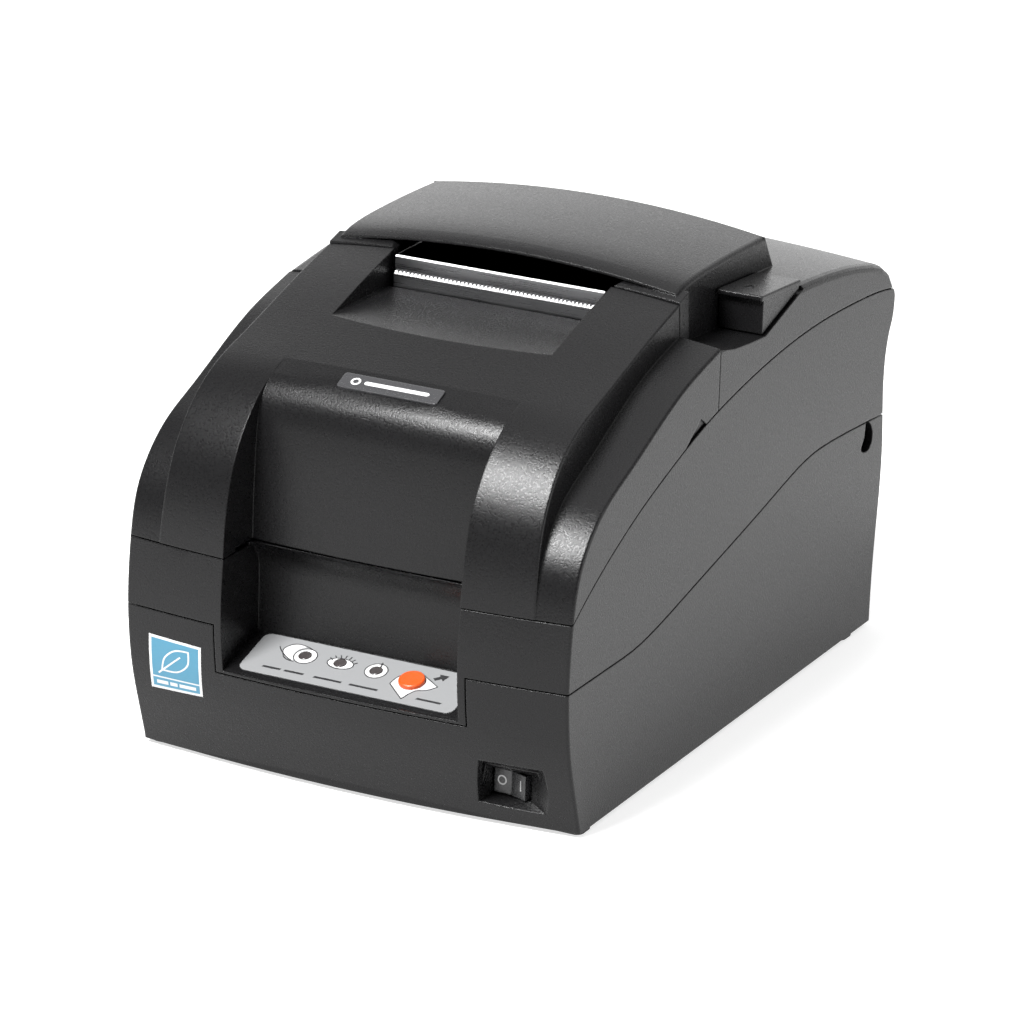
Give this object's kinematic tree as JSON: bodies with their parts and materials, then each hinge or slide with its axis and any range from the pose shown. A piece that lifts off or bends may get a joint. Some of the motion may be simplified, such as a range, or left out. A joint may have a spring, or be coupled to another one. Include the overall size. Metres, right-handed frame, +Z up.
{
  "type": "receipt printer",
  "caption": "Desktop impact receipt printer with bowed front cover, hinged roll cover with release lever, sunken control panel and internal print mechanism.",
  "frame": {"origin": "bottom centre of the bounding box, on the surface the rubber feet stand on", "axes": "+Z up, +X to the right seen from the front, +Y towards the back, so the control panel faces -Y"},
  "size_m": [0.16, 0.2508, 0.1609],
  "materials": {
    "case_plastic": "fine spark-eroded texture, charcoal black",
    "plate_plastic": "smooth dark plate",
    "pin_steel": "ground",
    "label_card": "silver-grey printed overlay",
    "lens_plastic": "dark translucent",
    "button_plastic": "orange satin",
    "board_green": "green solder resist",
    "screw_steel": "zinc plated",
    "switch_plastic": "semi-gloss black",
    "sheet_steel": "zinc plated sheet",
    "inner_plastic": "moulded dark grey",
    "head_aluminium": "die cast, dark",
    "cassette_plastic": "smooth moulded",
    "belt_rubber": "reinforced rubber",
    "roller_rubber": "ground rubber",
    "gear_plastic": "natural moulded",
    "pinion_brass": "machined",
    "tear_steel": "bright toothed edge",
    "platen_rubber": "hard rubber",
    "spacer_brass": "turned",
    "part_aluminium": "sleeved",
    "chip_plastic": "moulded",
    "connector_steel": "pressed shell",
    "connector_plastic": "moulded",
    "foot_rubber": "soft rubber"
  },
  "bodies": {
    "case": {"middle_case": "case_plastic", "lower_case": "case_plastic", "control_label": "label_card", "status_lens": "lens_plastic", "panel_board": "board_green", "panel_screw": "screw_steel", "power_switch_body": "switch_plastic", "chassis_frame": "sheet_steel", "chassis_screw": "screw_steel", "carriage_shaft": "pin_steel", "tension_pin": "pin_steel", "carriage_motor": "sheet_steel", "roller_bush": "gear_plastic", "idler_pin": "pin_steel", "feed_motor": "sheet_steel", "tear_bar": "tear_steel", "paper_guide": "sheet_steel", "platen": "platen_rubber", "paper_cradle": "inner_plastic", "main_board": "board_green", "board_spacer": "spacer_brass", "board_screw": "screw_steel", "board_capacitor": "part_aluminium", "board_chip": "chip_plastic", "interface_connector": "connector_steel", "drawer_connector": "connector_plastic", "power_inlet": "connector_plastic", "rubber_foot": "foot_rubber", "drive_belt": "belt_rubber", "roll_cover_hinge_pin": "pin_steel"},
    "front_cover": {"front_cover": "case_plastic", "name_plate": "plate_plastic"},
    "roll_cover": {"roll_cover": "case_plastic", "lever_pin": "pin_steel"},
    "release_lever": {"release_lever": "case_plastic"},
    "feed_button": {"feed_button": "button_plastic"},
    "power_rocker": {"power_rocker": "switch_plastic"},
    "carriage": {"carriage": "inner_plastic", "print_head": "head_aluminium"},
    "ribbon_cassette": {"ribbon_cassette": "cassette_plastic"},
    "ribbon_knob": {"ribbon_knob": "inner_plastic"},
    "feed_roller": {"feed_roller": "roller_rubber", "roller_gear": "gear_plastic"},
    "pressure_roller": {"pressure_roller": "roller_rubber"},
    "idler_gear": {"idler_gear": "gear_plastic"},
    "motor_pinion": {"motor_pinion": "pinion_brass"},
    "drive_pulley": {"drive_pulley": "inner_plastic"},
    "tension_pulley": {"tension_pulley": "inner_plastic"}
  },
  "joints": [
    {"name": "front_cover_hinge", "type": "hinge", "parent": "case", "child": "front_cover", "pos_m": [0, -0.12502, 0.0752], "axis": [1, 0, 0], "range_deg": [0, 80]},
    {"name": "roll_cover_hinge", "type": "hinge", "parent": "case", "child": "roll_cover", "pos_m": [0, 0.12173, 0.1188], "axis": [1, 0, 0], "range_deg": [-70, 0]},
    {"name": "release_lever_hinge", "type": "hinge", "parent": "roll_cover", "child": "release_lever", "pos_m": [0.071, 0.04123, 0.142], "axis": [1, 0, 0], "range_deg": [-15, 0], "stiffness_Nm_per_rad": 0.02},
    {"name": "feed_button_press", "type": "slide", "parent": "case", "child": "feed_button", "axis": [0, 0.2873, -0.9578], "range_m": [0, 0.0008], "stiffness_N_per_m": 200, "springref_m": -0.001},
    {"name": "power_rocker_tilt", "type": "hinge", "parent": "case", "child": "power_rocker", "pos_m": [0.0556, -0.10707, 0.014], "axis": [0, 0, 1], "range_deg": [0, 24]},
    {"name": "carriage_slide", "type": "slide", "parent": "case", "child": "carriage", "axis": [1, 0, 0], "range_m": [-0.028, 0.028]},
    {"name": "drive_pulley_spin", "type": "hinge", "parent": "case", "child": "drive_pulley", "pos_m": [-0.046, -0.07227, 0.073], "axis": [0, 0, 1], "range_deg": [-300, 300]},
    {"name": "tension_pulley_spin", "type": "hinge", "parent": "case", "child": "tension_pulley", "pos_m": [0.046, -0.07227, 0.073], "axis": [0, 0, 1], "range_deg": [-300, 300]},
    {"name": "ribbon_cassette_lift", "type": "slide", "parent": "case", "child": "ribbon_cassette", "axis": [0, 0, 1], "range_m": [0, 0.005]},
    {"name": "ribbon_knob_spin", "type": "hinge", "parent": "ribbon_cassette", "child": "ribbon_knob", "pos_m": [0.034, -0.07927, 0.12], "axis": [0, 0, 1], "continuous": true},
    {"name": "feed_roller_spin", "type": "hinge", "parent": "case", "child": "feed_roller", "pos_m": [0, -0.01827, 0.074], "axis": [1, 0, 0], "continuous": true},
    {"name": "pressure_roller_spin", "type": "hinge", "parent": "case", "child": "pressure_roller", "pos_m": [0, -0.02847, 0.074], "axis": [1, 0, 0], "continuous": true},
    {"name": "idler_gear_spin", "type": "hinge", "parent": "case", "child": "idler_gear", "pos_m": [0.064, -0.01827, 0.05788], "axis": [1, 0, 0], "continuous": true},
    {"name": "motor_pinion_spin", "type": "hinge", "parent": "case", "child": "motor_pinion", "pos_m": [0.06, -0.02727, 0.0513], "axis": [1, 0, 0], "continuous": true}
  ],
  "couplings": [
    {"joint": "drive_pulley_spin", "follows": "carriage_slide", "rad_per_m": -165.3},
    {"joint": "tension_pulley_spin", "follows": "carriage_slide", "rad_per_m": -165.3},
    {"joint": "pressure_roller_spin", "follows": "feed_roller_spin", "ratio": -1.5},
    {"joint": "idler_gear_spin", "follows": "feed_roller_spin", "ratio": -1.2632},
    {"joint": "motor_pinion_spin", "follows": "feed_roller_spin", "ratio": 2.1818}
  ]
}
